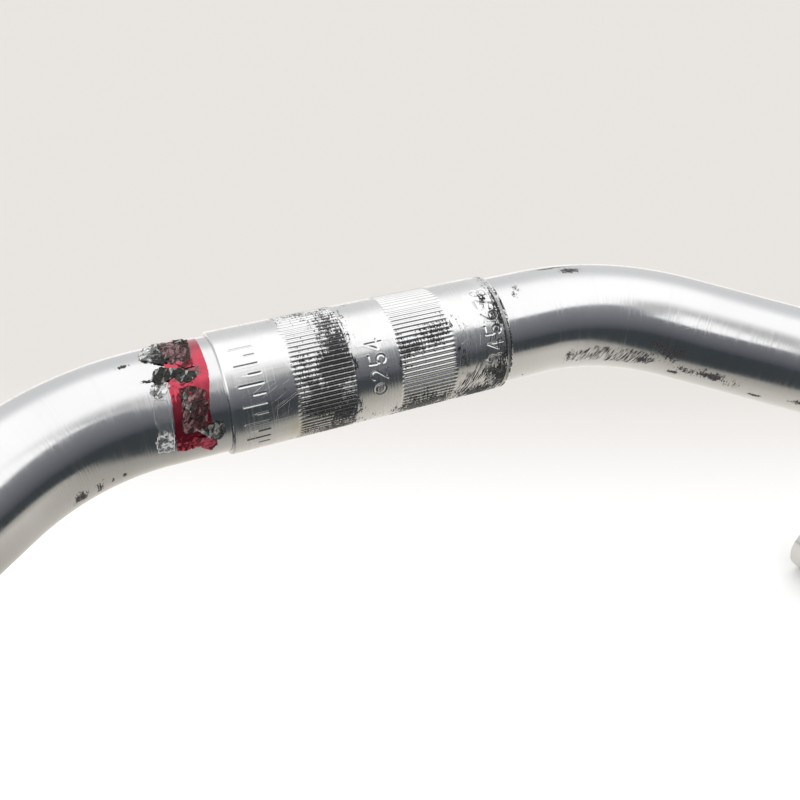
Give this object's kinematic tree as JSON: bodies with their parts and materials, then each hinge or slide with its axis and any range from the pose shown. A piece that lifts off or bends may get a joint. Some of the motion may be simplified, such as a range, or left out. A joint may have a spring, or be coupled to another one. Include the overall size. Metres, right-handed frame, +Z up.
{
  "type": "drop handlebar",
  "caption": "Drop handlebar bent from one round tube, with a knurled clamp sleeve, forward ramps, round hooks and level lower drops.",
  "frame": {"origin": "middle of the clamp sleeve, on its axis", "axes": "+X along the clamp sleeve, +Z up, -Y forward, the way the hooks reach; the lower drops are level and run back along +Y"},
  "size_m": [0.4238, 0.1419, 0.1721],
  "materials": {
    "polished_tube": "polished round the tube, with fine scratches, spots and scuffs",
    "satin_sleeve": "worn polish with dirt in the pressed grooves and stamped marks",
    "red_foil": "creased and torn glossy foil",
    "clear_film": "wrinkled thin film with trapped air",
    "torn_film": "curled black scraps with glints along their torn edges"
  },
  "bodies": {
    "root": {"handlebar_tube": "polished_tube", "clamp_sleeve": "satin_sleeve", "label_foil": "red_foil", "label_film": "clear_film", "label_scraps": "torn_film"}
  },
  "joints": []
}
